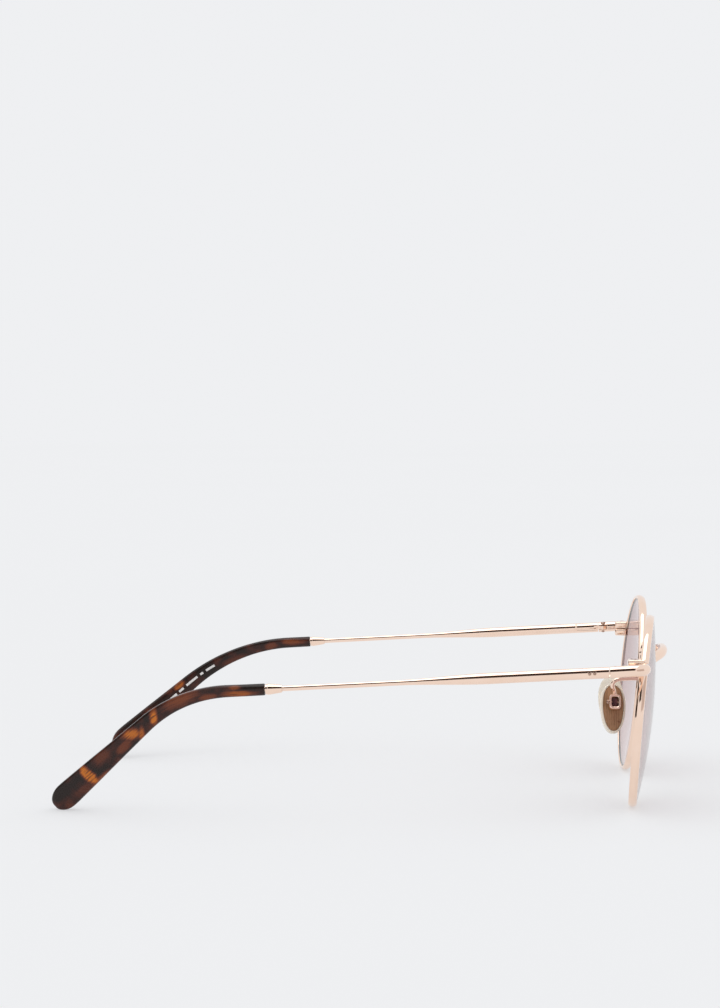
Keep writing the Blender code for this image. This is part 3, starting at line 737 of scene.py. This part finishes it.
# ------------------------------------------------------------------ nose pads
def pad_place(s):
    """A pad box's centre, its up axis, and its matrix: X fore, Y up and Z to the nose."""
    splay, tilt = math.radians(PAD_SPLAY), math.radians(PAD_FRONTAL)
    nose = Vector((-s * math.cos(splay) * math.cos(tilt), math.sin(splay) * math.cos(tilt), -math.sin(tilt)))
    up = Vector((-nose.z / nose.x, 0.0, 1.0)).normalized()
    centre = at(s * PAD_X, PAD_Y, PAD_Z) + up * BOX_UP - nose * BOX_BACK
    turn = Matrix((up.cross(nose), up, nose)).transposed().to_4x4()
    return centre, up, Matrix.Translation(centre * MM) @ turn


def rounded_corner(angle, x_power, y_power):
    """The cosine and sine, raised to powers that make a circle squarer."""
    c, d = math.cos(angle), math.sin(angle)
    return math.copysign(abs(c) ** x_power, c), math.copysign(abs(d) ** y_power, d)


def pad_ring(inset, z, shrink=1.0, count=72):
    """The pad's outline, inset, at depth z from its middle."""
    out = []
    for k in range(count):
        c, d = rounded_corner(2 * math.pi * k / count, 0.85, 0.95)
        out.append(Vector(((PAD_W - inset) * shrink * c * (1 + 0.1 * d),
                           (PAD_H - inset) * shrink * d - BOX_UP, z + BOX_BACK)))
    return out


def pad_middle(z):
    """The ring of one point in the middle of pad_ring."""
    return [Vector((0, -BOX_UP, z + BOX_BACK))]


def nose_pad(side, s):
    """The soft pad, the brown core in its back and the stud, which rock together."""
    matrix = pad_place(s)[2]
    body = side + "_pad_body"
    t = 1.1
    rings = [pad_middle(t), pad_ring(1.2, t, 0.5), pad_ring(1.2, t - 0.02)]
    rings += [pad_ring(0.95 * (1 - math.sin(math.radians(a))),
                       t - 0.02 - 0.9 * (1 - math.cos(math.radians(a)))) for a in range(10, 91, 10)]
    rings += [pad_ring(0.38 * (1 - math.cos(math.radians(a))), -0.7 - 0.4 * math.sin(math.radians(a)))
              for a in range(0, 91, 15)]
    rings += [pad_ring(0.48, -t), pad_ring(0.52, -t + 0.05), pad_ring(0.52, -0.40), pad_ring(1.2, -0.40, 0.5),
              pad_middle(-0.40)]
    pad = skin(side + "_nose_pad_fine", rings, CLEAR, caps=False, matrix=matrix, angle=40)
    stands_for(pad, body, side + "_nose_pad")

    rings = [pad_middle(-0.45), pad_ring(1.2, -0.45, 0.5), pad_ring(0.7, -0.45), pad_ring(0.62, -0.53),
             pad_ring(0.62, -0.87), pad_ring(0.7, -0.95), pad_ring(1.2, -0.95, 0.5),
             pad_middle(-0.95)]
    core = skin(side + "_pad_core_fine", rings, CORE, caps=False, matrix=matrix, angle=40)
    stands_for(core, body, side + "_pad_core")
    # The stud fills the box's mouth. Its near-black colour is painted shade for the dark inside of the mouth.
    stud = block(side + "_pad_stud_fine", (1.6, 2.2, 1.9),
                 matrix @ Matrix.Translation(Vector((0, 0, 0.5)) * MM), STUD_PAINTED_SHADE, 0.25, 3)
    carve(stud, [rod("bore", 0.4, 6.0, matrix @ Matrix.Rotation(math.pi / 2, 4, "Y"), STUD_PAINTED_SHADE)])
    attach(stud, body)


def pad_box(side, s):
    """A squarish ring that holds the pad's stud, with a rounded outer edge, and the screw across it."""
    matrix = pad_place(s)[2]
    rings = []
    for k in range(96):
        a = 2 * math.pi * k / 96
        c, d = rounded_corner(a, 0.55, 0.55)
        out = Vector((1.55 * c, 2.0 * d, 0))
        c, d = rounded_corner(a, 0.45, 0.45)
        mouth = Vector((0.98 * c, 1.33 * d, 0))
        ring = []
        for u, z in arc(0.5, 0.55, 0.5, 90, 0, 6) + arc(0.5, -0.55, 0.5, 0, -90, 6):
            ring.append(mouth.lerp(out, 0.5 + 0.5 * u) + Vector((0, 0, z * 0.9 / 1.05)))
        ring += [mouth.lerp(out, 0.12) + Vector((0, 0, -0.86)), mouth + Vector((0, 0, -0.76)),
                 mouth + Vector((0, 0, 0.76)), mouth.lerp(out, 0.12) + Vector((0, 0, 0.86))]
        rings.append(ring)
    box = skin(side + "_pad_box_fine", rings, ROSE, loop=True, matrix=matrix, angle=50)
    stands_for(box, "front", side + "_pad_box")

    screw = turned(side + "_pad_screw_fine",
                   [(0.0, 2.13), (0.35, 2.12), (0.52, 2.05), (0.6, 1.95), (0.6, 1.52), (0.33, 1.5),
                    (0.33, -1.5), (0.2, -1.65), (0.0, -1.65)],
                   SCREW, matrix @ Matrix.Rotation(math.pi / 2, 4, "Y"), 36)
    stands_for(screw, "front", side + "_pad_screw")


def pad_arm(side, s):
    """The bent wire from the rim down to the pad box, thicker where it is soldered on."""
    centre, up, _ = pad_place(s)
    end = centre + up * 1.95
    route = [at(s * 11.0, -10.3, 29.9), at(s * 11.8, -8.2, 30.0), at(s * 13.0, -5.5, 30.05),
             at(s * 13.9, -3.4, 29.85), at(s * 14.1, -2.3, 29.15), at(s * 13.7, -2.1, 28.1),
             end + Vector((s * 0.45, 0.15, 1.1)), end]
    path = through(route, 10)
    radii = [0.55 + 0.25 * max(0.0, 1 - i / 8) ** 2 for i in range(len(path))]
    arm = skin(side + "_pad_arm_fine", along(path, radii, 32, start_up=Vector((0.1, 0, 1))), ROSE)
    carve(arm, [rim_relief(s)])
    stands_for(arm, "front", side + "_pad_arm")


def printed_dashes():
    """A plain row of dashes where the inside of the left tip carries a printed mark."""
    bm = bmesh.new()
    for y0, y1 in DASHES:
        strips = []
        count = 8
        for k in range(count + 1):
            y = y0 + (y1 - y0) * k / count
            _, _, centre, side_way, up_way, thick = tip_section(1, y, 0.0, 8)
            inner = centre - side_way * (thick + INK_LIFT)
            strips.append([bm.verts.new((inner + up_way * v) * MM) for v in (-DASH_HALF, 0.0, DASH_HALF)])
        for a, b in zip(strips, strips[1:]):
            for j in range(2):
                bm.faces.new((a[j], b[j], b[j + 1], a[j + 1]))
    obj = finish_mesh("left_tip_mark", bm, MARK)
    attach(obj, "left_temple_body")


for side, s in SIDES:
    rim(side, s)
    lens(side, s)
    closing_block(side, s)
    end_piece(side, s)
    temple_body = side + "_temple_body"
    temple_arm(side, s, temple_body)
    hinge_tongue(side, s, temple_body)
    ferrule(side, s, temple_body)
    temple_tip(side, s, temple_body)
    nose_pad(side, s)
    pad_box(side, s)
    pad_arm(side, s)
bridge()
printed_dashes()


# ------------------------------------------------------------------ studio
BACKDROP = (0.862, 0.870, 0.887)


def surround():
    """An even pale world."""
    world = bpy.data.worlds.new("studio")
    world.use_nodes = True
    background = world.node_tree.nodes["Background"]
    background.inputs["Color"].default_value = (*BACKDROP, 1.0)
    background.inputs["Strength"].default_value = 1.0
    bpy.context.scene.world = world
    bpy.context.scene.view_settings.view_transform = "Standard"


def pale_floor():
    """A plain floor, half lit and half glowing, just under the part."""
    n = Nodes("pale_floor")
    n.tree.nodes.remove(n.shader)
    tone = n.ramp(n.noise(n.coords(), 1.5, 2.0), [(0.3, (0.99, 0.99, 0.99)), (0.7, (1.0, 1.0, 1.0))])
    matt = n.add("ShaderNodeBsdfDiffuse", {"Color": n.mix(1.0, tone, (0.93, 0.93, 0.93), "MULTIPLY")})
    glow = n.add("ShaderNodeEmission", {"Color": (*BACKDROP, 1.0), "Strength": 1.0})
    both = n.add("ShaderNodeMixShader", {0: 0.5, 1: glow.outputs[0], 2: matt.outputs[0]})
    n.tree.links.new(both.outputs[0], n.out.inputs["Surface"])
    bm = bmesh.new()
    bmesh.ops.create_grid(bm, x_segments=4, y_segments=4, size=6.0)
    floor = finish_mesh("floor", bm, n.mat)
    floor.location = (0, 0, -0.00003)


def card(name, colour, strength, location, size, look_at):
    """A studio card that only the gloss of the pieces sees."""
    n = Nodes(name)
    n.tree.nodes.remove(n.shader)
    glow = n.add("ShaderNodeEmission", {"Color": (*colour, 1.0), "Strength": strength})
    n.tree.links.new(glow.outputs[0], n.out.inputs["Surface"])
    bm = bmesh.new()
    bmesh.ops.create_grid(bm, x_segments=1, y_segments=1, size=0.5)
    obj = finish_mesh(name, bm, n.mat)
    obj.scale = (size[0], size[1], 1)
    obj.location = location
    obj.rotation_euler = (Vector(look_at) - Vector(location)).to_track_quat("Z", "Y").to_euler()
    obj.visible_camera = False
    obj.visible_diffuse = False
    obj.visible_shadow = False
    obj.visible_transmission = False


def key_light():
    """A weak, wide sun, for the soft shadows under the part."""
    key = bpy.data.lights.new("key", "SUN")
    key.energy = 0.22
    key.angle = math.radians(50)
    lamp = bpy.data.objects.new("key", key)
    lamp.rotation_euler = Vector((0.35, -0.25, -1.0)).to_track_quat("-Z", "Y").to_euler()
    bpy.context.scene.collection.objects.link(lamp)


LENS_MM, SENSOR_MM = 99.857143, 36.0    # the sensor's size is that of the picture's longer side
CAMERA_AT = (-742.74, 16.83, 103.30)
PAN, TILT = 0.0644, 0.0381


def camera():
    """From the right and a little above."""
    data = bpy.data.cameras.new("camera")
    data.sensor_width = SENSOR_MM
    data.lens = LENS_MM
    data.clip_start, data.clip_end = 0.01, 50.0
    cam = bpy.data.objects.new("camera", data)
    forward = Vector((math.cos(TILT) * math.cos(PAN), math.cos(TILT) * math.sin(PAN), -math.sin(TILT)))
    cam.location = at(*CAMERA_AT) * MM
    cam.rotation_mode = "QUATERNION"
    cam.rotation_quaternion = forward.to_track_quat("-Z", "Y")
    bpy.context.scene.collection.objects.link(cam)
    bpy.context.scene.camera = cam


surround()
pale_floor()
card("softbox_top", (1.0, 0.99, 0.975), 2.4, (-0.03, 0.0, 1.3), (1.15, 0.95), (-0.03, 0, 0))
card("dark_flag", (0.045, 0.03, 0.026), 1.0, (-1.2, 0.0, 0.93), (1.05, 1.2), (0, 0, 0.03))
card("dark_wing", (0.035, 0.018, 0.012), 1.0, (-0.35, 1.35, 0.35), (1.7, 1.0), (-0.05, 0, 0.03))
card("grey_wing", (0.56, 0.50, 0.49), 1.0, (-0.8, -1.1, 0.35), (1.2, 0.9), (0, 0, 0.03))
key_light()
camera()
